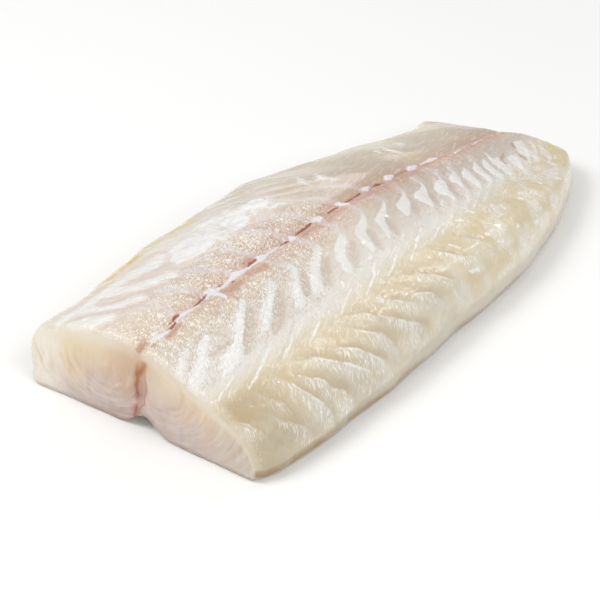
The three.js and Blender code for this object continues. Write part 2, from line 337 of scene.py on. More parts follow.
ROSE_STROKES = (
    ((-96.6, 0, 0.9), (-95.4, -0.6, 1.1), (-93.2, -0.5, 0.7)),
    ((-87, -3.6, 0.7), (-83.5, -2.8, 0.9), (-80, -2.2, 0.6)),
    ((-60.2, -1.2, 0.9), (-58.5, -3, 1.5), (-55.5, -2.2, 1.4), (-52.5, -2.4, 1)),
    ((-60.6, -3, 0.6), (-60, -6.4, 0.4)),
    ((-48, -2, 1), (-44, -2, 1.3), (-41, -2.6, 1)),
    ((-45, 3, 0.6), (-41, 3.2, 0.7)),
    ((-20, -0.6, 0.8), (-15, 0, 1.2), (-12, -1, 0.8)),
    ((-8, -1, 0.8), (-4, 0.2, 1), (1, 0, 0.8)),
    ((5, -0.8, 1), (12, -0.4, 1.4), (24, -0.4, 1.4), (40, -0.6, 1.4)),
)
PEARL_STROKES = (
    ((-91.9, -0.8, 0.4), (-90, -1, 1), (-88.2, -1.3, 1.4), (-86, -1.5, 0.9), (-84.2, -1.5, 0.4)),
    ((-80, -0.2, 0.3), (-76.8, 0.3, 0.6), (-75, 0.2, 0.9), (-73, 0.1, 0.6), (-69, -0.3, 0.3)),
    ((-65, 0.7, 0.3), (-63.2, 1.7, 1), (-61.5, 1.3, 1.5), (-61.8, -1.5, 1), (-62, -4, 0.5)),
    ((-61, 1, 0.8), (-57, 0.6, 0.4), (-53, 0.9, 0.8), (-50.5, 1.3, 1.4), (-48.4, 1.2, 0.8)),
    ((-48, 1.1, 0.6), (-44, 0.9, 0.4), (-40, 1, 0.6), (-38.3, 1.7, 1.3), (-36, 1.5, 0.7)),
    ((-36, 1.5, 0.5), (-30, 1.8, 0.25), (-29, 1.8, 0.1)),
    ((-24.6, 0.9, 0.5), (-22.8, 1.4, 1.3), (-21.4, 1.1, 0.5)),
    ((-11.4, 2.8, 0.4), (-9.2, 2.6, 1.3), (-7.2, 2.3, 0.6)),
    ((1.6, 2.9, 0.6), (2.8, 2.3, 1.1), (4.3, 0.8, 0.9)),
    ((15.3, 2.9, 0.6), (17, 2.9, 1), (19, 2.9, 0.4)),
    ((27.2, 2.3, 0.5), (29, 2.6, 1.3), (31.4, 2.6, 0.6)),
    ((39.8, 2.2, 0.6), (42.2, 2.2, 1.3), (44.4, 2.2, 0.5)),
    ((46.6, 1.8, 0.2), (49.5, 1.7, 0.35), (52, 1.4, 0.9), (54.2, 1, 0.5)),
    ((60.6, -1.8, 0.4), (64.2, -1.6, 0.4)),
    ((72, -1.8, 0.2), (75, -1.3, 0.4), (79, -1, 0.25)),
)
# Pale arcs and hooks of tissue beside the dots, and low on the right half by the tail
ARC_STROKES = (
    ((-38.5, 0.5, 0.7), (-38.3, -3, 0.9), (-36.5, -6, 1.2)),
    ((-22.8, 0.3, 0.9), (-22.8, -3, 1.1), (-22.2, -6.6, 1.1)),
    ((-8.8, 1.2, 0.9), (-9.5, -3, 0.9), (-10.5, -6, 1), (-11.6, -8.2, 1)),
    ((4.2, 0.6, 0.8), (3.5, -2.5, 0.7), (3, -5, 0.9), (1.6, -7, 1)),
    ((14.2, 0, 0.5), (13.6, -3, 0.6), (13.4, -6.4, 0.7)),
    ((24.8, -1, 0.4), (24.6, -4, 0.6), (23.6, -6.4, 0.8)),
    ((35.2, 0, 0.4), (34.2, -3, 0.6), (33.4, -6, 0.7)),
    ((44.2, -2, 0.4), (43.3, -5, 0.6), (41.6, -8, 0.8)),
    ((52.8, -4.4, 0.5), (50.6, -6.4, 0.6), (48.4, -9, 0.8)),
    ((61.5, -6, 0.3), (60.4, -9.4, 0.6)),
    ((-77.5, 3, 0.6), (-79, 8, 0.9), (-81, 12, 0.6)),
    ((-64, 3, 0.8), (-66, 7, 1.2), (-68.2, 10.8, 1.2), (-71, 14, 0.6)),
    ((-51.4, 3, 0.9), (-53.4, 7, 1), (-55, 11, 1.1), (-57.2, 14.6, 1)),
    ((-39.4, 3, 1), (-40.4, 8, 1.1), (-41.4, 13.4, 1.1)),
    ((-24.2, 3, 1), (-26.4, 8, 1.4), (-28.4, 12, 1.4), (-31, 16, 1)),
    ((-10.6, 3.6, 0.7), (-11.8, 8, 1), (-13.4, 11.4, 1.1), (-18.6, 15.6, 1.2)),
    ((2.6, 3.6, 0.8), (1.4, 8.4, 1.1), (-0.4, 11.6, 1), (-3.6, 13.8, 1), (-7.6, 16.2, 1)),
    ((14.8, 4, 0.6), (14.2, 8, 1.1), (12.6, 10.6, 1), (9, 14, 0.6)),
    ((72, -25, 0.4), (72.3, -30, 0.8), (71, -33, 0.3)),
    ((66.8, -26, 0.4), (66.2, -29, 0.7), (65.4, -31.5, 0.3)),
    ((79.8, -24.5, 0.4), (79.2, -28, 0.8), (78, -31, 0.3)),
    ((76, -26.5, 0.3), (75.4, -31, 0.7)),
    ((86, -19, 0.4), (83.4, -23.4, 0.7)),
    ((90.4, -13.6, 0.5), (88, -18.4, 0.8)),
    ((93, -10, 0.4), (93.6, -14, 0.8), (91.6, -17, 0.4)),
    ((60, -26, 0.3), (58.2, -29.4, 0.6)),
)
# White sheets of tissue that show between the flakes: bars by the cut, leaves by the tail
RIGHT_BLADES = (
    ((-97, -13.5), (-92, -10.8), (-87, -9.5), (-86, -10.3), (-91, -13), (-97, -17)),
    ((-79, -9.8), (-84, -11), (-90, -15), (-97, -18), (-97, -21.5), (-92, -20.4), (-86, -16.6), (-80, -13),
     (-77.5, -11.5)),
    ((-72.6, -15.2), (-79, -17.4), (-85, -19.5), (-88, -22.7), (-84, -23), (-78, -22), (-74, -19.8),
     (-70.6, -16.4)),
    ((-59, -7.6), (-62, -8.2), (-67, -10.6), (-73, -15), (-75.4, -19.6), (-74, -20.2), (-68, -16),
     (-63, -12), (-59.2, -9.6)),
    ((-46, -7.2), (-50, -9.5), (-57, -13), (-63, -17.6), (-65.4, -20), (-63.5, -21), (-58, -18),
     (-52, -13.8), (-47, -10.6), (-45, -9.4)),
    ((-37.6, -5.6), (-37.6, -8.6), (-41.5, -12), (-46, -15.5), (-49.4, -19.5), (-47, -20.8), (-43, -17.6),
     (-38.5, -13.4), (-35.2, -10), (-34.8, -7)),
    ((-21, -6.2), (-24, -7.5), (-30, -10.5), (-35, -13.8), (-40.4, -18.8), (-38.5, -20.4), (-35.5, -18.7),
     (-31, -14.8), (-26, -11.4), (-21.4, -7.8)),
    ((-11.3, -7.4), (-14.5, -8.9), (-18.5, -10.7), (-22, -14), (-25.2, -19), (-24, -21.4), (-21.5, -18.6),
     (-19, -15.2), (-15, -12.2), (-11.4, -10)),
    ((2.4, -5.6), (0, -7.3), (-4.5, -8.7), (-8.5, -11), (-10.2, -14.5), (-11.6, -19.8), (-9.6, -19.5),
     (-7.2, -15.7), (-5, -12.6), (-1, -10.3), (2, -7.6)),
    ((13.6, -6), (10, -8), (5, -9.7), (2.2, -10.8), (1, -13.5), (-0.8, -16.5), (-2.6, -19.8), (0.7, -18),
     (3.1, -14.9), (4.9, -12.7), (8, -11.1), (12.4, -7.9)),
    ((24.2, -5.6), (22, -7.5), (17, -9.5), (14.6, -10.1), (13.5, -11.5), (12.7, -13.5), (12.1, -16),
     (13.6, -16.2), (15.6, -14.7), (18.7, -13), (21.2, -10), (24, -7.2)),
    ((33.5, -6), (32, -8), (28, -9.3), (25, -9.7), (23.5, -11), (22.8, -13.5), (22.9, -16.5),
     (22.5, -18.6), (24.7, -17.5), (27.7, -13.7), (31.1, -10.5), (33, -8.4)),
    ((42.5, -6.5), (40, -9.5), (36.5, -10.1), (33.7, -11.5), (32.1, -14), (32.1, -16), (32.5, -18),
     (31.9, -21), (33.9, -19), (36.7, -14.9), (39.1, -12.6), (41, -9.5)),
    ((49.5, -7), (47.5, -9.3), (45, -10.4), (42.4, -11.4), (41.2, -13.4), (41.7, -15), (40.4, -18.8),
     (43.3, -15.7), (46.1, -13), (48.2, -10)),
    ((53.6, -9.4), (51, -11.3), (48.6, -12.3), (46.9, -14.2), (46.1, -17.5), (45.1, -20.5), (44.8, -22.8),
     (47.7, -19.5), (50.1, -16.1), (52.6, -12.5)),
    ((60.8, -9), (57.6, -11.1), (55, -12.3), (53.7, -14.2), (52.9, -17.5), (51.5, -20.5), (50.2, -23.6),
     (53.1, -21.1), (55.5, -17.6), (57.8, -13.6)),
    ((64.2, -10.4), (61.8, -11.7), (59.7, -13.4), (58.5, -16), (56.9, -20), (55.2, -24.4), (58.5, -21.7),
     (60.7, -17.6), (62.8, -13)),
    ((68.6, -8), (66.2, -11), (64.4, -13), (63.7, -16), (62.7, -19.5), (61.2, -23.8), (64.7, -20.7),
     (66.9, -17.3), (68, -14.5), (69.4, -13), (67.2, -12.4)),
    ((75.2, -15), (72.5, -14.9), (70.3, -16.4), (69.5, -19), (68.5, -22.5), (66.6, -26.7), (70.1, -23.7),
     (72.3, -20.1), (74.2, -17.4)),
    ((84.2, -9.4), (81.5, -12.3), (79.3, -14.2), (78.2, -17), (78.7, -20), (77.4, -24), (80.5, -21.7),
     (82.6, -18), (85.2, -14), (88.5, -10.4)),
    ((89.5, -16), (86.5, -18.5), (84, -22), (80, -26.5), (83.5, -25), (87, -21.5)),
)
LEFT_BLADES = (
    ((-96, 25), (-93, 22), (-90, 18.5), (-88, 15.5), (-91, 15), (-95, 17), (-97, 20)),
    ((-88.5, 27), (-85.5, 25.5), (-85, 21.5), (-82, 18.5), (-77, 17.5), (-74.8, 16.5), (-76, 15.2),
     (-80, 15.8), (-84, 18.5), (-87.5, 22.5), (-88.5, 25)),
    ((-77.5, 27.5), (-74, 27), (-73, 24.5), (-70, 22), (-65, 19.5), (-60, 18.5), (-59, 17), (-61, 15.8),
     (-66, 17.5), (-71, 19.5), (-75.5, 23), (-77.5, 26)),
)
LEFT_LINES = (
    ((-95, 29.4, 0.5), (-85, 28.6, 0.7), (-80, 29, 0.5), (-70, 28.6, 0.8), (-60, 28.4, 0.9),
     (-52, 28.4, 0.7)),
    ((-66, 26.5, 0.3), (-60, 26.6, 0.5), (-55, 26.2, 0.3)),
)
FAT_BLADES = (
    ((-54.5, 20), (-52, 25), (-48, 28.5), (-41, 29.5), (-37, 27.5), (-35, 24), (-36, 19.5), (-41, 18),
     (-46, 17.5), (-51, 19)),
)
COMBED_FAT = (
    ((-37, 17.5), (-37.5, 28), (-33, 30.5), (-26, 31), (-20, 29), (-18.5, 24), (-22, 19.5), (-28, 17)),
    ((-18, 19), (-16.5, 26), (-10, 26), (-5, 25), (-6, 21.5), (-12, 18.8)),
)
FAT_STROKES = (
    ((-34, 17.5, 0.7), (-33, 21, 1.2), (-32, 26, 1.4), (-31, 29.5, 0.6)),
    ((-29.5, 19, 0.8), (-27.5, 24, 1.3), (-26, 30, 0.8)),
    ((-25, 19.5, 0.6), (-23.5, 24, 1.1), (-21, 29, 0.9)),
    ((-20, 19.5, 0.4), (-17.5, 22.5, 0.8), (-16.5, 25.5, 0.5)),
    ((-15.5, 19.5, 0.5), (-12, 22, 0.9), (-9, 24.5, 0.4)),
    ((-10.5, 20.2, 0.4), (-7.5, 22.5, 0.7), (-5.5, 24.6, 0.4)),
    ((-11.8, 18, 1), (-9.6, 17.4, 1.7), (-7.4, 16.4, 1)),
    ((9.4, 19.8, 0.5), (10.2, 22.5, 0.9), (12.6, 25, 0.5)),
    ((17.6, 22.2, 0.5), (15.2, 18.6, 1.2), (16.2, 14.8, 0.8)),
    ((49.6, 11.6, 0.3), (49.4, 17, 0.8), (50.6, 19.6, 0.3)),
    ((45.6, 16, 0.3), (46.2, 19, 0.6)),
    ((56.6, 15.4, 0.3), (57.6, 18, 0.7)),
)
# Wet ridges low on the right half, with painted highlights along them
GLINT_STROKES = (
    ((-95, -25.8, 0.15), (-90, -25.3, 0.25), (-85, -24.3, 0.15)),
    ((-84.6, -29.4, 0.2), (-80, -28.4, 0.3), (-75, -26.8, 0.32), (-70, -25, 0.28), (-66.5, -23.5, 0.12)),
    ((-72, -30, 0.15), (-67, -28.8, 0.28), (-62, -27, 0.28), (-58.5, -25.5, 0.12)),
    ((-57.5, -30.2, 0.12), (-53, -29, 0.3), (-48, -27, 0.3), (-45.5, -26.3, 0.12)),
    ((-45, -28, 0.2), (-43, -26.4, 0.12)),
    ((-42, -29.9, 0.15), (-38, -28, 0.32), (-34, -26.5, 0.35), (-30.5, -25.2, 0.15)),
    ((-29.5, -29.7, 0.12), (-25, -28.3, 0.35), (-20, -26.3, 0.35), (-18, -24.5, 0.5), (-15, -22.8, 0.15)),
    ((-18, -29.5, 0.1), (-13, -27.6, 0.2), (-8, -25.5, 0.25), (-3.5, -23.5, 0.12)),
    ((-5.5, -29.3, 0.1), (0, -27, 0.22), (5, -24.8, 0.28), (9, -23, 0.25), (12, -20.8, 0.1)),
    ((9, -28, 0.1), (13, -26.5, 0.25), (17, -25.2, 0.1)),
    ((-31.2, -23.6, 0.3), (-30.2, -21.8, 0.5)),
    ((-15.2, -20.8, 0.2), (-13.6, -20.6, 0.4)),
    ((21.5, -27, 0.3), (23.4, -28.6, 0.6)),
    ((29.4, -26, 0.2), (29.4, -29, 0.5)),
    ((6, -43, 0.3), (9.6, -43.8, 0.5)),
    ((9.6, -33, 0.3), (10.4, -36, 0.5)),
    ((23.2, -38.2, 0.4), (23.8, -38.8, 0.3)),
    ((24, -41.4, 0.2), (26.2, -42.5, 0.35)),
    ((35, -41.4, 0.2), (36.6, -41, 0.4)),
    ((45, -41.9, 0.2), (47.6, -41.5, 0.35)),
    ((49, -32, 0.2), (50.6, -33.8, 0.5)),
    ((52.6, -31.2, 0.3), (54.2, -31.8, 0.3)),
    ((72, -33.2, 0.3), (74, -33.7, 0.4)),
    ((64.6, -30.4, 0.2), (64.2, -32.2, 0.4)),
    ((79.9, -26, 0.2), (79.6, -28.4, 0.5)),
    ((83.6, -26, 0.2), (86.2, -24.4, 0.4)),
)
# Edges of the flakes low on the right half: runs of (x, y, strength)
FLAKE_EDGES = (
    ((-95.5, -32.5, 0.3), (-93, -36, 0.7), (-91, -39.5, 0.3)),
    ((-86, -37.5, 0.2), (-84, -40.5, 0.5), (-81, -42.5, 0.5), (-77, -44.8, 0.5)),
    ((-84, -32, 0.2), (-82, -36, 0.5), (-80.5, -38, 0.6), (-79.4, -41, 0.2)),
    ((-74.3, -34.6, 0.4), (-73, -39, 0.9), (-71, -42, 1), (-68, -45, 0.6)),
    ((-70.4, -35.4, 0.3), (-68, -38, 0.8), (-65.2, -40, 0.9), (-63.5, -43, 0.8), (-60, -44.6, 0.7)),
    ((-65, -32.4, 0.4), (-61, -34.5, 0.7), (-58.5, -37.5, 1), (-55, -40.5, 1), (-52, -43, 0.9),
     (-48.6, -45.2, 0.5)),
    ((-55, -35.4, 0.4), (-50.5, -39, 0.9), (-48, -41, 0.9), (-45, -44, 0.8), (-41, -46.4, 0.4)),
    ((-44.6, -34.6, 0.3), (-43, -38, 0.8), (-41, -40, 0.8), (-38, -41.6, 0.8), (-36, -44.4, 0.4)),
    ((-40, -31.6, 0.3), (-37, -33.2, 0.9), (-35, -35.6, 0.9), (-34.4, -37.6, 0.7), (-35, -39.6, 0.3)),
    ((-32.6, -38.2, 0.5), (-30.5, -40, 0.8), (-28.4, -41.8, 0.9), (-25, -43.8, 0.7), (-20, -45.8, 0.3)),
    ((-27.2, -32.8, 0.4), (-25, -36, 0.9), (-22.5, -39, 1), (-19.6, -40.8, 0.5)),
    ((-19.6, -38.4, 0.4), (-16, -39.4, 0.8), (-12.5, -41, 0.8), (-10.4, -43.2, 0.3)),
    ((-9.8, -33.6, 0.4), (-7.5, -35.2, 0.9), (-5.5, -37.5, 0.9), (-3, -40.5, 0.8), (-0.8, -42.2, 0.3)),
    ((-0.4, -31.4, 0.2), (1, -34, 0.5), (2.4, -36.4, 0.3)),
    ((4, -31.2, 0.3), (5.6, -34, 0.8), (7, -37, 1), (8.2, -39.2, 1), (10.4, -40.2, 0.5)),
    ((14.6, -31, 0.2), (16, -34, 0.5), (19, -38.6, 0.6), (21, -39.6, 0.2)),
)
LIT_REACH = 3.6  # how far a flake stays bright from its edge, and how far the next one stays dark
SHADE_REACH = 2.4
EDGE_LINE = 0.5
# Hollows ahead of the white bars, dipped in the relief and painted darker as shade
HOLLOW_STROKES = (
    ((-84, -15.4, 0.3), (-79, -15.9, 0.9), (-75.6, -16.6, 0.6)),
    ((-60.5, -11.2, 0.8), (-66, -15.8, 1.5), (-72, -19.2, 1.2), (-75, -21.5, 0.5)),
    ((-48, -12.6, 0.8), (-54, -17.2, 1.7), (-60, -20.6, 1.4), (-62.5, -22, 0.8)),
    ((-35.4, -11, 0.7), (-38.5, -14.4, 1.1), (-41.5, -17.6, 1.3), (-42.6, -18.4, 0.5)),
    ((-24, -11.4, 1), (-29, -15.4, 1.6), (-33.4, -19, 1)),
    ((-13, -13, 1), (-17, -16.6, 1.5), (-20.4, -20.2, 0.8)),
    ((-3.4, -13, 0.8), (-5.6, -16.5, 1.2), (-7.6, -20, 0.7)),
    ((6.4, -12.8, 0.8), (4.4, -16.4, 1.1), (2.6, -19.4, 0.6)),
    ((20, -13.4, 0.9), (17.6, -16.4, 1), (15.6, -18.6, 0.5)),
    ((30, -13.4, 0.9), (27.6, -16.8, 1), (26, -19.4, 0.5)),
    ((39.6, -14, 0.9), (37.4, -17.4, 1), (35.6, -20.4, 0.5)),
    ((45, -16, 0.7), (43.4, -19, 0.7)),
    ((52, -16.4, 0.6), (50, -20, 0.7)),
    ((58, -15.4, 0.5), (56, -19.6, 0.6)),
    ((62.8, -16, 0.5), (61, -20, 0.6)),
)
MEMBRANE_ENDS = ((-84.0, -66.0), (-14.0, -30.0))  # fades in and out along the left rim
MEMBRANE_RIM = (0.78, 0.9)
OCHRE_PATCH = ((2.0, 23.6), (5.6, 2.4), 8)  # centre, radii and turn of an oval
FINE_RELIEF = {
    "sheet": 0.12, "fat": 0.25, "hollow": -0.25, "rib": 0.12, "lit": 0.14, "shade": -0.1,
    "midline": -0.25, "pearl": 0.4, "uneven": 0.1,
}
CALM_TAIL = {"loss": 0.85, "x": (-25, 10)}
COMB_WAY = (0.34, 0.94)  # direction in plan of the strands in the combed fat


def pitch_at(x):
    return FLAKE_PITCH[0] - SHRINK * (x - FIRST_FLAKE_X)


def to_segment(x, y, a, b):
    """Distance from a segment, and the share of it passed at the nearest place."""
    dx = b[0] - a[0]
    dy = b[1] - a[1]
    t = np.clip(((x - a[0]) * dx + (y - a[1]) * dy) / (dx * dx + dy * dy), 0, 1)
    return np.hypot(x - a[0] - t * dx, y - a[1] - t * dy), t


def in_strokes(x, y, strokes):
    """How far inside the nearest stroke a point lies, below 0 outside."""
    most = np.full_like(x, OUTSIDE)
    for stroke in strokes:
        for a, b in zip(stroke[:-1], stroke[1:]):
            distance, t = to_segment(x, y, a, b)
            most = np.maximum(most, lerp(a[2], b[2], t) - distance)
    return most


def in_blades(x, y, blades):
    """How far inside the nearest outline a point lies, below 0 outside."""
    most = np.full_like(x, OUTSIDE)
    for outline in blades:
        nearest = np.full_like(x, -OUTSIDE)
        inside = np.zeros(x.shape, bool)
        for a, b in zip(outline, outline[1:] + outline[:1]):
            nearest = np.minimum(nearest, to_segment(x, y, a, b)[0])
            if a[1] != b[1]:
                crossing = a[0] + (y - a[1]) * (b[0] - a[0]) / (b[1] - a[1])
                inside ^= ((a[1] > y) != (b[1] > y)) & (x < crossing)
        most = np.maximum(most, np.where(inside, nearest, -nearest))
    return most


def beside_edges(x, y, edges):
    """Nearness to the flakes' edges, from 0 to 1: on the bright side, on the dark side, on the edge."""
    lit = np.zeros_like(x)
    shade = np.zeros_like(x)
    line = np.zeros_like(x)
    for edge in edges:
        nearest = np.full_like(x, -OUTSIDE)
        below = np.zeros_like(x)
        strength = np.zeros_like(x)
        for a, b in zip(edge[:-1], edge[1:]):
            distance, t = to_segment(x, y, a, b)
            over = (b[0] - a[0]) * (y - a[1]) - (b[1] - a[1]) * (x - a[0])
            closer = distance < nearest
            below = np.where(closer, -np.sign(over) * distance, below)
            strength = np.where(closer, lerp(a[2], b[2], t), strength)
            nearest = np.minimum(nearest, distance)
        lit = np.maximum(lit, strength * bump(nearest, LIT_REACH) * smoothstep(below, -0.3, 0.4))
        shade = np.maximum(shade, strength * bump(nearest, SHADE_REACH) * smoothstep(-below, -0.3, 0.4))
        line = np.maximum(line, strength * bump(nearest, EDGE_LINE))
    return lit, shade, line


def in_oval(x, y, centre, radii, turn):
    """1 at the middle of an oval, 0 at its rim and below 0 outside."""
    a = math.radians(turn)
    dx = x - centre[0]
    dy = y - centre[1]
    along = (dx * math.cos(a) + dy * math.sin(a)) / radii[0]
    over = (dy * math.cos(a) - dx * math.sin(a)) / radii[1]
    return 1 - np.hypot(along, over)


def markings(u, v):
    """Fields that the material paints by, and the fine relief in millimetres."""
    x, y = plan(u, v)
    d = from_midline(v)
    right = v <= 0
    tissue = in_blades(x, y, RIGHT_BLADES + LEFT_BLADES)
    tissue = np.maximum(tissue, in_strokes(x, y, LEFT_LINES))
    over = COMB_WAY[1] * x - COMB_WAY[0] * y
    along = COMB_WAY[0] * x + COMB_WAY[1] * y
    combing = 1.9 * noise(over * 0.42 + 7, along * 0.1) + 0.9 * noise(over * 0.9, along * 0.22 + 3) - 0.6
    combed = np.minimum(in_blades(x, y, COMBED_FAT) + 0.6, 1.4) + combing
    white_fat = np.maximum(in_blades(x, y, FAT_BLADES), in_strokes(x, y, FAT_STROKES))
    white_fat = np.maximum(white_fat, np.minimum(combed, in_blades(x, y, COMBED_FAT) + 1.2))
    hollow = in_strokes(x, y, HOLLOW_STROKES)
    pearl = in_strokes(x, y, PEARL_STROKES)
    count = flakes(v, x)
    past = count - np.floor(count)
    from_line = np.minimum(past, 1 - past) * pitch_at(x)
    patchy = 0.35 * noise(x * 0.3, y * 0.5) + 0.2 * noise(x * 0.9, y * 0.9)
    on_rim = smoothstep(x, *MEMBRANE_ENDS[0]) * (1 - smoothstep(x, *MEMBRANE_ENDS[1][::-1]))
    membrane = np.clip(on_rim * smoothstep(v, *MEMBRANE_RIM) * (1.0 + patchy), 0, 1)
    ochre = np.clip(1.1 * in_oval(x, y, *OCHRE_PATCH) + patchy, 0, 1)
    right_corner = 0.5 * smoothstep(u, 0.9, 0.98) * smoothstep(-v, 0.2, 0.6)
    left_corner = 0.35 * smoothstep(u, 0.86, 1) * smoothstep(v, 0.5, 0.9)

    rib_band = band(d, 19, 22, 28, 31) * right
    lit, shade, flake_edge_glint = beside_edges(x, y, FLAKE_EDGES)
    shapes = {
        "sheet": smoothstep(tissue, -0.8, 1.0),
        "fat": smoothstep(white_fat, -0.4, 1.2) * (0.7 + 0.5 * noise(x * 0.6, y * 0.6)),
        "hollow": smoothstep(hollow, -1.2, 1.0),
        "rib": bump(from_line, 0.7) * rib_band * (0.5 + 0.9 * noise(x * 0.3, y * 0.3)),
        "lit": lit,
        "shade": shade,
        "midline": bump(d, 0.9),
        "pearl": smoothstep(pearl, -0.6, 0.8),
        "uneven": noise(x * 0.9, y * 0.9) * (1 - CALM_TAIL["loss"] * smoothstep(x, *CALM_TAIL["x"]) * ~right),
    }
    relief = sum(height * shapes[name] for name, height in FINE_RELIEF.items())
    fields = {
        "across": v,
        "sheet": count,
        "tissue": tissue,
        "fat": white_fat,
        "glint": in_strokes(x, y, GLINT_STROKES),
        "lit": lit,
        "shade": shade,
        "flake_edge_glint": flake_edge_glint,
        "arc": in_strokes(x, y, ARC_STROKES),
        "hollow": hollow,
        "pearl": pearl,
        "blood": in_strokes(x, y, BLOOD_STROKES),
        "rust": in_strokes(x, y, RUST_STROKES),
        "rose": in_strokes(x, y, ROSE_STROKES),
        "membrane": np.clip(membrane + right_corner + left_corner, 0, 1),
        "ochre": ochre,
        "inward": u * LENGTH,
    }
    return fields, relief * smoothstep(1 - np.abs(v), 0.0, 0.1)


# Mesh

def along_lines():
    s = np.linspace(0, 1, ALONG + 1)
    return s - END_CROWDING * np.sin(2 * np.pi * s) / (2 * np.pi)


def across_lines():
    s = (np.arange(ACROSS // 2) + 0.5) / (ACROSS // 2)
    steps = 1 - MIDLINE_CROWDING * bump(s, CROWDING_REACH) - EDGE_CROWDING * bump(1 - s, CROWDING_REACH)
    half = np.cumsum(steps) / steps.sum()
    half[-1] = 1
    return np.concatenate([-half[::-1], [0], half])


def ring(grid):
    """The rim of a grid, once round from the cut's right corner by the right side, tail and left side."""
    return np.concatenate([grid[:-1, 0], grid[-1, :-1], grid[:0:-1, -1], grid[0, :0:-1]])


TOP_ONLY = ("tissue", "fat", "glint", "arc", "hollow", "pearl", "blood", "rust", "rose")


def below_rim(fields):
    """The fields of the walls and the underside, where no marking of the upper side shows."""
    return {name: np.full_like(f, OUTSIDE) if name in TOP_ONLY else f for name, f in fields.items()}


def face_seam_y(z):
    """Where the seam between the two halves lies on the cut face at each height."""
    seam = FACE_SEAM
    return seam["y"] + seam["lean"] * (np.clip(z, *seam["heights"]) - seam["z"])


def loin_arrays():
    """Points, faces and fields of the loin: the upper side, its walls and its underside."""
    u, v = np.meshgrid(along_lines(), across_lines(), indexing="ij")
    x, y = plan(u, v)
    fields, fine = markings(u, v)
    top = top_height(u, v, fine)
    base = base_height(u, v)
    numbers = np.arange(u.size).reshape(u.shape)

    points = [np.stack([x, y, top], -1).reshape(-1, 3)]
    values = {name: [field.ravel()] for name, field in fields.items()}
    values["face"] = [(u == 0).astype(float).ravel()]
    values["low"] = [np.zeros(u.size)]
    faces = [
        np.stack([numbers[:-1, :-1], numbers[1:, :-1], numbers[1:, 1:], numbers[:-1, 1:]], -1).reshape(-1, 4)
    ]

    # Walls, ring by ring from the rim down
    rim = below_rim({name: ring(field) for name, field in fields.items()})
    rim_u, rim_v, rim_x, rim_y, rim_top, rim_base = (ring(a) for a in (u, v, x, y, top, base))
    on_cut = rim_u == 0
    on_side = np.abs(rim_v) == 1
    bulge = WALL_BULGE * np.where(rim_v > 0, smoothstep(rim_u, 0, STRAIGHT_WALL), 1)
    level = ring(numbers)
    used = u.size
    for k in range(UP - 1, -1, -1):
        share = k / UP
        belly = math.sin(math.pi * share)
        rim_z = lerp(rim_base, rim_top, share)
        seam = FACE_SEAM["depth"] * bump(rim_y - face_seam_y(rim_z), FACE_SEAM["half_width"])
        ragged = sum(h * noise(rim_y * a + shift, rim_z * b) for h, a, b, shift in FACE_RAGGED)
        out_x = np.where(on_cut, belly * (seam - FACE_BULGE * (1 - rim_v ** 2) + ragged), 0)
        uneven = WALL_UNEVEN[0] * noise(rim_x * WALL_UNEVEN[1], rim_z * WALL_UNEVEN[2])
        out_y = np.where(on_side, rim_v * belly * (bulge * (rim_top - rim_base) + uneven), 0)
        points.append(np.stack([rim_x + out_x, rim_y + out_y, rim_z], -1))
        for name, field in rim.items():
            values[name].append(field)
        values["face"].append(on_cut.astype(float))
        values["low"].append(np.full(rim_u.size, 1 - share))
        below = used + np.arange(rim_u.size)
        faces.append(np.stack([below, np.roll(below, -1), np.roll(level, -1), level], -1))
        level = below
        used += rim_u.size

    # Underside
    inner = (slice(BASE_STEP, -1, BASE_STEP), slice(1, -1))
    inner_u, inner_v = u[inner], v[inner]
    inner_x, inner_y = plan(inner_u, inner_v)
    points.append(np.stack([inner_x, inner_y, base_height(inner_u, inner_v)], -1).reshape(-1, 3))
    for name, field in below_rim(markings(inner_u, inner_v)[0]).items():
        values[name].append(field.ravel())
    values["face"].append(np.zeros(inner_u.size))
    values["low"].append(np.full(inner_u.size, 2.0))

    under = np.full(u.shape, -1)
    right_side, tail, left_side, cut = np.split(level, np.cumsum([ALONG, ACROSS, ALONG]))
    under[:-1, 0] = right_side
    under[-1, :-1] = tail
    under[:0:-1, -1] = left_side
    under[0, :0:-1] = cut
    under[inner] = used + np.arange(inner_u.size).reshape(inner_u.shape)
    underside = []
    for i in range(0, ALONG, BASE_STEP):
        for j in range(ACROSS):
            back = under[i:i + BASE_STEP + 1:1 if j == 0 else BASE_STEP, j]
            ahead = under[i:i + BASE_STEP + 1:1 if j == ACROSS - 1 else BASE_STEP, j + 1]
            underside.append([*back[::-1], *ahead])
    face_lists = [face for block in faces for face in block.tolist()] + [list(map(int, f)) for f in underside]
    return np.concatenate(points), face_lists, {name: np.concatenate(v) for name, v in values.items()}


def loin_mesh():
    points, faces, values = loin_arrays()
    low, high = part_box(NODE)
    middle = (points.max(0) + points.min(0)) / 2
    points = points - [middle[0], middle[1], points[:, 2].min()]
    points = points * MM + [(low.x + high.x) / 2, (low.y + high.y) / 2, low.z]
    mesh = bpy.data.meshes.new("loin_flesh")
    mesh.from_pydata(points.tolist(), [], faces)
    mesh.polygons.foreach_set("use_smooth", np.ones(len(mesh.polygons), bool))
    for name, field in values.items():
        attribute = mesh.attributes.new(name, "FLOAT", "POINT")
        attribute.data.foreach_set("value", field.astype(np.float32))
    mesh.update()
    return mesh


# Materials

def srgb(code):
    """Linear colour of a hexadecimal screen colour."""
    parts = [int(code[k:k + 2], 16) / 255 for k in (0, 2, 4)]
    return (*[p / 12.92 if p <= 0.04045 else ((p + 0.055) / 1.055) ** 2.4 for p in parts], 1)


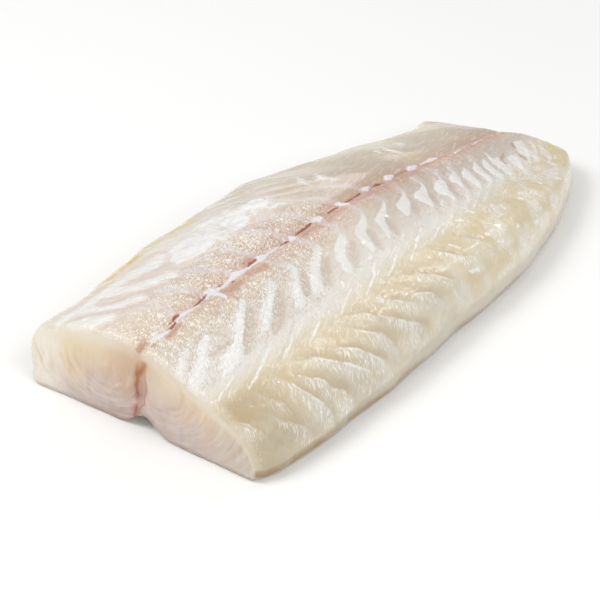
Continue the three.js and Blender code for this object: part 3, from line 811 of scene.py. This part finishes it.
class Shader:
    """A material's node tree, with short names for the nodes that are used here."""

    def __init__(self, name):
        self.material = bpy.data.materials.new(name)
        self.material.use_nodes = True
        self.tree = self.material.node_tree
        self.tree.nodes.clear()

    def node(self, kind, inputs=(), **settings):
        node = self.tree.nodes.new(kind)
        for key, value in settings.items():
            setattr(node, key, value)
        for key, value in dict(inputs).items():
            self.feed(node.inputs[key], value)
        return node

    def feed(self, socket, value):
        if isinstance(value, bpy.types.NodeSocket):
            self.tree.links.new(value, socket)
        else:
            socket.default_value = value

    def math(self, operation, a, b=0):
        return self.node("ShaderNodeMath", {0: a, 1: b}, operation=operation).outputs[0]

    def add(self, *terms):
        total = terms[0]
        for term in terms[1:]:
            total = self.math("ADD", total, term)
        return total

    def times(self, *factors):
        product = factors[0]
        for factor in factors[1:]:
            product = self.math("MULTIPLY", product, factor)
        return product

    def sway(self, noise, *shares):
        """Noise about its middle value."""
        return self.times(self.add(noise, -0.5), *shares)

    def inverse(self, a):
        return self.math("SUBTRACT", 1, a)

    def step(self, x, low, high):
        """0 below low and 1 above high, or the other way round if low is the larger one."""
        inputs = {"Value": x, "From Min": low, "From Max": high}
        return self.node("ShaderNodeMapRange", inputs, interpolation_type="SMOOTHSTEP").outputs["Result"]

    def bell(self, x, half_width):
        q = self.math("DIVIDE", x, half_width)
        return self.math("POWER", math.e, self.math("MULTIPLY", self.math("MULTIPLY", q, q), -1))

    def attribute(self, name):
        return self.node("ShaderNodeAttribute", attribute_name=name).outputs["Fac"]

    def scaled(self, vector, share):
        inputs = {0: vector, 1: (share,) * 3}
        return self.node("ShaderNodeVectorMath", inputs, operation="MULTIPLY").outputs[0]

    def hairs(self, vector, curl, turn, lengths, detail=2, roughness=0.6):
        """Noise drawn out by lengths along a direction in plan, and curled by noise of a size and amount."""
        inputs = {"Vector": vector, "Scale": 1 / curl[0], "Detail": 1}
        shift = self.node("ShaderNodeTexNoise", inputs).outputs["Color"]
        inputs = {0: shift, 1: (curl[1],) * 3, 2: vector}
        curled = self.node("ShaderNodeVectorMath", inputs, operation="MULTIPLY_ADD").outputs[0]
        inputs = {"Vector": curled, "Scale": lengths, "Rotation": (0, 0, math.radians(turn))}
        drawn = self.node("ShaderNodeMapping", inputs, vector_type="TEXTURE").outputs["Vector"]
        return self.noise(drawn, 1, detail, roughness)

    def noise(self, vector, size, detail=2, roughness=0.5, distortion=0):
        inputs = {"Vector": vector, "Scale": 1 / size, "Detail": detail}
        inputs.update({"Roughness": roughness, "Distortion": distortion})
        return self.node("ShaderNodeTexNoise", inputs).outputs["Fac"]

    def mix(self, factor, a, b):
        node = self.node("ShaderNodeMix", data_type="RGBA")
        self.feed(node.inputs["Factor"], factor)
        self.feed(node.inputs[6], a)
        self.feed(node.inputs[7], b)
        return node.outputs[2]

    def ramp(self, factor, stops):
        node = self.node("ShaderNodeValToRGB", {"Fac": factor})
        elements = node.color_ramp.elements
        while len(elements) < len(stops):
            elements.new(1)
        for element, (place, code) in zip(elements, stops):
            element.position = place
            element.color = srgb(code)
        return node.outputs["Color"]

    def surface(self, inputs):
        shader = self.node("ShaderNodeBsdfPrincipled", inputs)
        output = self.node("ShaderNodeOutputMaterial")
        self.tree.links.new(shader.outputs["BSDF"], output.inputs["Surface"])
        return self.material


class Coat:
    """A colour, and the tones that are laid over it one by one, each by the product of its shares."""

    def __init__(self, shader, colour):
        self.shader = shader
        self.colour = colour

    def lay(self, tone, *shares):
        self.colour = self.shader.mix(self.shader.times(*shares), self.colour, tone)


# Flesh colours across the loin, by place from the right rim to the left rim
NEAR_COLOURS = (
    (0.0, "D3C9B4"), (0.06, "DACFB8"), (0.12, "DFD0B0"), (0.18, "E4D6B9"), (0.23, "EEE9E1"),
    (0.34, "E6DDD3"), (0.42, "E2D2BD"), (0.47, "DEC6AC"), (0.53, "E3CDB3"), (0.61, "EBD9C4"),
    (0.69, "EFDFD2"), (0.78, "F1E7DE"), (0.86, "F5EEE5"), (1.0, "F5EEE1"),
)
TAIL_COLOURS = (
    (0.0, "EEE4CC"), (0.1, "EBDEC0"), (0.17, "E9DBBC"), (0.23, "EEEAE1"), (0.34, "D7C9BC"),
    (0.42, "D2C0B0"), (0.47, "CFB19C"), (0.53, "CDB29D"), (0.6, "D2BBA4"), (0.72, "D5C4AC"),
    (0.85, "E1D4B8"), (1.0, "EEE3C6"),
)
# Colours of the cut face, by height, darker towards the bottom partly as painted shade
FACE_COLOURS = (
    (0.0, "BFA295"), (0.14, "CFBDB6"), (0.34, "D9C5B9"), (0.5, "E0C8B4"), (0.64, "E8D1B3"),
    (0.8, "EEE0C8"), (1.0, "F3EDE2"),
)
WHITE = srgb("F6F4EF")
FAT_WHITE = srgb("FEFCFA")
PEARL = srgb("F7F2F5")
LAVENDER = srgb("EAE3E8")
# Painted wet sparkle highlights, partly also the white of fine fibre flecks
PAINTED_SPARKLE = srgb("FFFDF8")
CREAM = srgb("EBDCC2")
GOLDEN = srgb("C3B08B")
PALE_GOLD = srgb("E2CEA2")
PALE_FIBRE = srgb("F1EBE0")
DARK_FIBRE = srgb("C0AA8E")
DARK_GRAIN = srgb("C69A7C")
# Painted shade in the hollows between the bars
HOLLOW_SHADE = srgb("CDBAA6")
BLOOD = srgb("9E2F18")
RUST = srgb("B5794A")
ROSE = srgb("C58F76")
SALMON = srgb("DBA58B")
MEMBRANE = srgb("E2C677")
OCHRE = srgb("D6BE86")
SEAM_TOP = srgb("BA7030")
SEAM_LOW = srgb("A65C48")
SEAM_WARMTH = srgb("CBA384")
SEAM_LUMP = srgb("EACBBE")
LEFT_RIM_CREAM = srgb("F9F0E2")
ROSY_BAND = srgb("DDBFAC")
GOLDEN_SHADE = srgb("C6AC80")
MID_SHADE = srgb("B69A82")
# Painted shade at the foot of the walls
FOOT_SHADE = srgb("A98650")
WALL = srgb("D4CABA")
NEAR_WALL = srgb("B9A785")
BRINK = srgb("EFE5D2")
RIM_GREY = srgb("D9D3C6")
GLOW = srgb("EFD9B4")
SKINNED = srgb("D9D2C8")
FLESH_SHARE = 0.875  # of the tones above, as flesh seen in a bright studio

# Zones of the upper side, in millimetres along x or from the midline: where each begins and is full
HALF_WIDTH = 45
NEAR_X = (-8, -45)
TAIL_X = (-5, 30)
GRAIN = {"reach": 8, "more_near": 3, "more_left": 6, "soft": (4, -4), "x": (20, -25)}
BARS = {"inner": (6, 10), "outer": (26, 20), "x": (5, -45)}
RIBS = {"inner": (15, 22), "outer": (33, 29)}
LOW_RIGHT = (27, 32)
BY_CUT_X = (-68, -92)

# Lines of the cut face in millimetres: the seam's two edges, the notch above and the lump below
SEAM_LINE = {"y": 2.9, "lean": -0.095, "right_edge": 2.75, "closes": (9.5, 7), "closing": -1.8}
NOTCH = {"y": -8.87, "lean": 0.44, "half_width": 1.2, "bottom": (17.8, 20), "top": (25.4, 23.2)}
LUMP = {"side": -0.4, "half_width": 0.9, "z": 9.6, "half_height": 1.3}
LOBE_CENTRE = {"y": 12.5, "right_shift": 21, "z": 18}


def cut_face(s, mm, y, z, coarse, broad, low):
    """Colour of the cut face, cream above, lilac below and darker there partly as painted shade, warm by the
    seam, and the share of its arcs.
    """
    add, times, step, bell, inverse = s.add, s.times, s.step, s.bell, s.inverse
    seam_y = add(SEAM_LINE["y"], times(z, SEAM_LINE["lean"]))
    from_seam = s.math("SUBTRACT", add(y, s.sway(s.noise(mm, 4), 1.6)), seam_y)
    outward = s.math("ABSOLUTE", from_seam)
    rise = add(z, times(outward, 0.35), times(add(coarse, broad, -1), 7), -5)
    cut = Coat(s, s.ramp(s.math("DIVIDE", rise, 30), FACE_COLOURS))
    lay = cut.lay
    lay(GLOW, bell(add(y, -14), 14), bell(add(z, -22), 5), step(broad, 0.3, 0.6), 0.6)
    lay(GLOW, bell(add(y, times(coarse, 6), -29), 6), step(z, 3, 10), 0.6)
    lay(LEFT_RIM_CREAM, step(add(y, times(coarse, 6)), 28, 38), 0.9)
    lay(WALL, step(y, -22, -32), 0.6)
    lay(SEAM_WARMTH, bell(add(from_seam, -3), 7.5), step(z, 5, 12), 0.6)
    lobe = step(from_seam, 0.5, -0.5)
    dy = add(y, times(lobe, LOBE_CENTRE["right_shift"]), -LOBE_CENTRE["y"])
    dz = add(z, -LOBE_CENTRE["z"])
    radius = s.math("SQRT", add(times(dy, dy, 0.7), times(dz, dz)))
    angle = s.math("ARCTAN2", dz, dy)
    polar = {"X": times(radius, 0.8), "Y": times(angle, 0.8), "Z": times(broad, 1.5)}
    arcs = s.noise(s.node("ShaderNodeCombineXYZ", polar).outputs["Vector"], 1, 2, 0.6)
    faint = times(step(z, 22, 12), step(radius, 3, 6))
    lay(PALE_FIBRE, step(arcs, 0.5, 0.7), faint, add(0.38, times(lobe, -0.1)))
    lay(SEAM_WARMTH, step(arcs, 0.48, 0.32), faint, 0.3)
    lay(PALE_FIBRE, step(add(radius, times(coarse, 2)), 8, 4), lobe, 0.15)
    lay(SEAM_WARMTH, bell(add(radius, times(coarse, 1.6), -6.4), 0.6), lobe, step(dy, 1, -3), 0.3)
    seam_tone = s.mix(step(z, 12, 20), SEAM_LOW, SEAM_TOP)
    closing = times(step(z, *SEAM_LINE["closes"]), SEAM_LINE["closing"])
    right_line = add(from_seam, SEAM_LINE["right_edge"], closing)
    between = times(bell(add(right_line, -1.4), 1.5), add(0.4, times(step(coarse, 0.35, 0.6), 0.3)))
    lay(s.mix(0.45, seam_tone, SEAM_LUMP), between, step(z, 24, 19))
    lay(SEAM_LOW, bell(right_line, 0.4), step(z, 21, 17), 0.55)
    lay(seam_tone, bell(from_seam, 0.55), step(z, 25.5, 18.5), 0.9)
    notch_side = add(y, times(z, NOTCH["lean"]), NOTCH["y"], s.sway(coarse, 1.4))
    notch_rise = times(step(z, *NOTCH["bottom"]), step(z, *NOTCH["top"]))
    notch = times(notch_rise, bell(notch_side, NOTCH["half_width"]))
    lay(SEAM_TOP, notch, 0.95)
    lump_side = bell(add(from_seam, LUMP["side"]), LUMP["half_width"])
    lump = times(lump_side, bell(add(z, -LUMP["z"]), LUMP["half_height"]))
    lay(SEAM_LUMP, lump, 0.8)
    # Pale brink along the top of the face, translucent flesh with a painted highlight
    lay(BRINK, step(low, 0.14, 0), inverse(bell(from_seam, 1.6)), 0.45)
    return cut.colour, times(arcs, faint)


def flesh_material():
    s = Shader("cod_flesh")
    add, times, step, bell, inverse, attribute = s.add, s.times, s.step, s.bell, s.inverse, s.attribute
    place = s.node("ShaderNodeTexCoord").outputs["Object"]
    mm = s.scaled(place, 1 / MM)
    split = s.node("ShaderNodeSeparateXYZ", {"Vector": mm})
    x, y, z = (split.outputs[k] for k in "XYZ")
    across = attribute("across")
    face = attribute("face")
    low = attribute("low")
    top = times(step(low, 0.3, 0), step(face, 0.9, 0.1))

    # Zones of the upper side
    d = times(s.math("ABSOLUTE", across), HALF_WIDTH)
    right = step(across, 0.01, -0.01)
    left = inverse(right)
    near = step(x, *NEAR_X)
    reach = add(GRAIN["reach"], times(near, GRAIN["more_near"]), times(left, GRAIN["more_left"]))
    grain_zone = times(step(s.math("SUBTRACT", d, reach), *GRAIN["soft"]), step(x, *GRAIN["x"]), top)
    bar_zone = times(step(d, *BARS["inner"]), step(d, *BARS["outer"]), right, step(x, *BARS["x"]), top)
    rib_zone = times(step(d, *RIBS["inner"]), step(d, *RIBS["outer"]), right, top)
    tail = step(x, *TAIL_X)
    lit = times(attribute("lit"), top)
    shade = times(attribute("shade"), top)

    # Noise in millimetres
    fine = s.noise(mm, 0.8, 3, 0.6)
    coarse = s.noise(mm, 3, 3, 0.55)
    broad = s.noise(mm, 14, 2)
    wet = s.noise(mm, 0.6, 1, 0.5)
    film = s.noise(mm, 4, 1, 0.5, 0.3)
    fibres = s.hairs(mm, (9, 5), 15, (6, 0.8, 2))
    hatch = s.hairs(mm, (6, 3), 55, (2.6, 0.34, 2), 1, 0.5)
    left_comb = s.hairs(mm, (4, 2.5), -36, (5, 0.6, 2))
    streaks = s.hairs(mm, (5, 2), 22, (5, 0.5, 2))
    comb = s.hairs(mm, (4, 2.5), 36, (3.5, 0.5, 2))
    flecks = s.hairs(mm, (2.2, 3), 40, (1.5, 0.28, 0.8), 1, 0.5)
    patches = s.noise(mm, 7, 2)
    sparkle = step(add(flecks, s.sway(patches, 0.2)), 0.53, 0.6)
    patchy = step(patches, 0.35, 0.6)
    mottle = add(fine, coarse, -1)

    def mark(name, ragged, start, full):
        """Where a marking shows, from a depth where it starts to one where it is full, with a ragged edge."""
        return times(step(add(attribute(name), times(mottle, ragged)), start, full), top)

    # Base colour with broad and fibrous variation
    t = add(times(across, 0.5), 0.5, s.sway(coarse, 0.03))
    flesh = Coat(s, s.mix(step(x, 35, -25), s.ramp(t, TAIL_COLOURS), s.ramp(t, NEAR_COLOURS)))
    lay = flesh.lay
    lay(MID_SHADE, left, bell(add(x, -4), 34), 0.3)
    lay(CREAM, step(broad, 0.45, 0.75), 0.3)
    fibrous = times(tail, left, 0.25)
    lay(PALE_FIBRE, step(fibres, 0.52, 0.7), add(0.25, fibrous))
    lay(DARK_FIBRE, step(fibres, 0.48, 0.28), add(0.2, times(fibrous, 0.3)))

    # Hollows ahead of the white bars, dipped in the relief and painted darker as shade, and the flakes of the
    # herringbone, with painted light and shade
    lay(HOLLOW_SHADE, mark("hollow", 1, -1.2, 0.8), add(0.45, times(near, 0.25)))
    low_right = times(step(d, *LOW_RIGHT), right, top)
    lay(PALE_GOLD, low_right, step(s.noise(mm, 6), 0.4, 0.65), 0.45)
    lay(PAINTED_SPARKLE, low_right, step(hatch, 0.56, 0.66), step(patches, 0.42, 0.62), 0.6)
    lay(PALE_FIBRE, low_right, step(d, 34, 43), patchy, 0.4)
    tail_right = times(low_right, tail)
    lay(PALE_GOLD, tail_right, step(broad, 0.56, 0.38), 0.5)
    lay(PAINTED_SPARKLE, tail_right, sparkle, step(patches, 0.42, 0.58), 0.75)
    lay(PAINTED_SPARKLE, tail_right, step(streaks, 0.58, 0.68), step(patches, 0.4, 0.6), 0.6)
    by_cut = times(low_right, step(x, *BY_CUT_X))
    lay(GOLDEN, by_cut, 0.85)
    lay(RIM_GREY, by_cut, step(d, 36, 42), step(patches, 0.4, 0.6), 0.25)
    # Painted shade on the dark side of each flake edge, painted light and sparkle highlights on its lit side
    lay(GOLDEN_SHADE, shade, 0.65)
    hatched = times(step(lit, 0.15, 0.7), step(hatch, 0.53, 0.62))
    lay(PALE_FIBRE, lit, 0.25)
    lay(PAINTED_SPARKLE, hatched, 0.9)
    # Painted highlight along each flake's edge
    lay(PAINTED_SPARKLE, step(attribute("flake_edge_glint"), 0.25, 0.8), step(coarse, 0.4, 0.55), top, 0.8)
    # Painted highlight streaks along the ribs
    lay(PAINTED_SPARKLE, rib_zone, step(streaks, 0.56, 0.65), patchy, 0.75)

    # Wet grain beside the midline and between the bars, paler by the cut, with painted sparkle highlights
    tanned = times(add(0.2, times(step(x, -88, -60), 0.8)), add(1, times(right, near, -0.4)))
    lay(DARK_GRAIN, grain_zone, step(patches, 0.55, 0.35), tanned, 0.45)
    lay(DARK_GRAIN, grain_zone, step(flecks, 0.48, 0.38), tanned, 0.65)
    lay(HOLLOW_SHADE, bar_zone, near, step(flecks, 0.49, 0.39), 0.6)
    lay(PAINTED_SPARKLE, grain_zone, sparkle)

    # White tissue: bars and leaves, fat, arcs and wet ridges, with painted sparkle highlights on the white
    # tissue, beside the bars and along the ridges
    soft = add(0.25, times(near, add(0.3, times(right, 0.5))), times(left, 0.2))
    ragged = add(times(mottle, add(0.5, times(near, 1.4))), times(add(flecks, comb, -1), near, right, 2.2))
    ragged = add(ragged, s.sway(left_comb, left, 4))
    cut_off = step(add(attribute("hollow"), times(mottle, 0.6)), -0.4, 0.5)
    tissue = add(attribute("tissue"), ragged, times(left, 0.6), times(cut_off, -2))
    white = times(step(tissue, times(soft, -1), soft), top)
    left_near = times(left, near, top)
    lay(WHITE, left_near, step(d, 9, 16), step(left_comb, 0.53, 0.62), 0.7)
    lay(ROSY_BAND, step(tissue, -4, -2.4), step(tissue, -0.6, -1.6), left_near, step(d, 9, 14), 0.38)
    thick = add(0.66, times(step(flecks, 0.4, 0.54), 0.3), times(tail, 0.14), times(right, near, 0.1))
    lay(WHITE, white, thick)
    lay(PAINTED_SPARKLE, white, left_near, step(left_comb, 0.42, 0.58), 0.9)
    # Brighter flecks on the bars by the cut, painted wet sparkle
    lay(FAT_WHITE, white, near, right, step(flecks, 0.47, 0.55), 0.95)
    beside = times(bar_zone, step(attribute("tissue"), -3, 0))
    lay(PAINTED_SPARKLE, beside, sparkle, 0.65)
    fat_edge = add(attribute("fat"), times(mottle, 3), s.sway(left_comb, 4))
    fatty = times(step(fat_edge, -1.2, 1.2), top)
    lay(FAT_WHITE, fatty, 0.92)
    lay(LAVENDER, step(attribute("fat"), 1.8, 4), step(coarse, 0.35, 0.6), top, 0.6)
    lay(LAVENDER, mark("arc", 2.2, -1.8, 1.2), add(0.6, times(left, -0.1)))
    glint_edge = add(attribute("glint"), s.sway(fine, 0.5), s.sway(streaks, 1.4))
    glint = times(step(glint_edge, -0.25, 0.1), add(0.6, times(step(coarse, 0.35, 0.5), 0.4)), top)
    # Painted highlights along the wet ridges
    lay(PAINTED_SPARKLE, glint, 0.9)

    # Midline: salmon by the tail, rose patches, rust, pearly dots and cord, thin blood line
    wander = s.sway(s.noise(mm, 5), 1.2)
    side = add(times(across, HALF_WIDTH), wander, times(step(x, 48, 64), 2.3))
    salmon = times(bell(add(side, 0.8), 1.7), step(x, 18, 48), top)
    lay(SALMON, salmon, 0.7)
    lay(ROSE, bell(side, 4.5), step(x, -84, -62), step(x, 30, 8), patchy, top, 0.4)
    rose = mark("rose", 2, -1.6, 1.2)
    pearl = mark("pearl", 1, -0.4, 0.3)
    lay(ROSE, rose, 0.75)
    lay(RUST, mark("rust", 1, -0.6, 0.4), 0.55)
    lay(PEARL, pearl, 0.92)
    lay(BLOOD, mark("blood", 0.7, -0.25, 0.2), 0.9)

    # Yellow membrane and corners
    membrane = times(attribute("membrane"), step(coarse, 0.2, 0.55), step(low, 0.8, 0.2))
    lay(MEMBRANE, membrane, 0.9)
    lay(OCHRE, attribute("ochre"), 0.6)

    # Soft, pale edge where the upper side rolls over into the cut, translucent flesh with a painted highlight
    inward = add(attribute("inward"), times(add(coarse, fine, -1), 4))
    lay(BRINK, step(inward, 3.4, 0.4), step(low, 0.3, 0), inverse(times(rose, 0.8)), 0.5)

    # Cut face
    face_colour, arcs = cut_face(s, mm, y, z, coarse, broad, low)
    lay(face_colour, face)

    # Walls and underside
    wall = times(step(low, 0.05, 0.35), step(face, 0.5, 0))
    lay(s.mix(step(x, -30, -80), WALL, NEAR_WALL), wall, inverse(membrane), 0.7)
    under = step(low, 1.02, 1.3)
    lay(SKINNED, under)
    skin_line = bell(s.math("PINGPONG", attribute("sheet"), 0.5), 0.06)
    lay(PALE_FIBRE, under, skin_line, 0.35)
    # Painted shade along the foot of the walls, where they curve under to the floor
    line_height = add(z, s.sway(coarse, 1.6), times(face, 2.6))
    foot_shade = times(step(line_height, 4.4, 1.8), step(low, 0.05, 0.3), inverse(under))
    lay(FOOT_SHADE, foot_shade, add(0.6, times(near, 0.25), times(face, -0.4)))

    # Relief in millimetres, finer than the mesh
    calm = inverse(times(tail, left, 0.75))
    rough = add(0.05, times(lit, 0.1), times(fatty, 0.1), times(rib_zone, 0.05))
    swell = times(film, calm, add(0.09, times(right, -0.05)))
    height = add(times(wet, rough, calm), swell, times(white, near, 0.04), times(glint, 0.03))
    height = add(height, times(flecks, add(times(grain_zone, 0.18), times(beside, 0.12))))
    height = add(height, times(hatch, add(times(lit, 0.12), times(low_right, 0.05))))
    height = add(height, times(comb, bar_zone, 0.12), times(pearl, 0.12), times(streaks, rib_zone, 0.12))
    height = add(height, times(face, arcs, 0.1))
    bumps = s.node("ShaderNodeBump", {"Strength": 1, "Distance": MM, "Height": height}).outputs["Normal"]
    return s.surface({
        "Base Color": s.scaled(flesh.colour, FLESH_SHARE),
        "Roughness": add(0.3, times(fine, 0.16)),
        "Normal": bumps,
        "Coat Normal": bumps,
        "IOR": 1.38,
        "Subsurface Weight": 0.12,
        "Subsurface Radius": (1, 0.75, 0.5),
        "Subsurface Scale": 0.002,
        "Coat Weight": 1,
        "Coat Roughness": 0.08,
        "Coat IOR": 1.35,
    })


def floor_material():
    s = Shader("pale_floor")
    place = s.node("ShaderNodeTexCoord").outputs["Object"]
    tone = s.noise(place, 0.25, 2)
    colour = s.mix(tone, srgb("F6F6F5"), srgb("FAFAF9"))
    return s.surface({"Base Color": colour, "Roughness": 0.75})


# Scene

def add_object(name, data):
    obj = bpy.data.objects.new(name, data)
    bpy.context.scene.collection.objects.link(obj)
    return obj


FLOOR_HALF = 3.0
FLOOR_GAP = 0.0002


def add_floor():
    mesh = bpy.data.meshes.new("floor")
    corners = ((-1, -1), (1, -1), (1, 1), (-1, 1))
    points = [(x * FLOOR_HALF, y * FLOOR_HALF, cad_low.z - FLOOR_GAP) for x, y in corners]
    mesh.from_pydata(points, [], [(0, 1, 2, 3)])
    floor = add_object("floor", mesh)
    floor.data.materials.append(floor_material())


def direction(azimuth, elevation):
    """From the object: azimuth 0 is towards -Y and 90 towards +X."""
    a = math.radians(azimuth)
    e = math.radians(elevation)
    return Vector((math.sin(a) * math.cos(e), -math.cos(a) * math.cos(e), math.sin(e)))


def aim(obj, target):
    obj.rotation_mode = "QUATERNION"
    obj.rotation_quaternion = (target - obj.location).to_track_quat("-Z", "Y")


LIGHT_TARGET = Vector((0, 0, 0.015))
WORLD_STRENGTH = 0.485
LIGHTS = {  # azimuth, elevation, distance, width, height and radiance
    "fill": (-15, 42, 1.3, 1.0, 0.7, 2.7),
    "key": (-130, 50, 0.85, 0.36, 0.36, 7.9),
    "back_strip": (128, 24, 1.2, 0.25, 0.6, 1.12),
    "side_strip": (94, 48, 1.2, 0.07, 0.35, 14.6),
}


def add_light(name, azimuth, elevation, distance, width, height, radiance):
    data = bpy.data.lights.new(name, "AREA")
    data.shape = "RECTANGLE"
    data.size = width
    data.size_y = height
    data.energy = radiance * math.pi * width * height
    light = add_object(name, data)
    light.location = direction(azimuth, elevation) * distance
    aim(light, LIGHT_TARGET)


CAMERA_TARGET = Vector((-28.6, -5.17, 10.0)) * MM
CAMERA_AZIMUTH = -53.6
CAMERA_ELEVATION = 34.0
CAMERA_DISTANCE = 0.66
CAMERA_LENS = 133.3
SENSOR_WIDTH = 36.0
CLIP_START = 0.01


def add_camera():
    data = bpy.data.cameras.new("camera")
    data.lens = CAMERA_LENS
    data.sensor_width = SENSOR_WIDTH
    data.clip_start = CLIP_START
    camera = add_object("camera", data)
    camera.location = CAMERA_TARGET + direction(CAMERA_AZIMUTH, CAMERA_ELEVATION) * CAMERA_DISTANCE
    aim(camera, CAMERA_TARGET)
    bpy.context.scene.camera = camera


def add_lighting():
    scene = bpy.context.scene
    scene.view_settings.view_transform = "Standard"
    world = bpy.data.worlds.new("studio")
    scene.world = world
    world.use_nodes = True
    background = world.node_tree.nodes["Background"]
    background.inputs["Color"].default_value = (1.0, 1.0, 1.0, 1.0)
    background.inputs["Strength"].default_value = WORLD_STRENGTH
    for name, values in LIGHTS.items():
        add_light(name, *values)


def add_loin():
    loin = add_object("loin", loin_mesh())
    loin.data.materials.append(flesh_material())
    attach(loin, "root")
    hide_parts(NODE)


add_loin()
add_floor()
add_lighting()
add_camera()
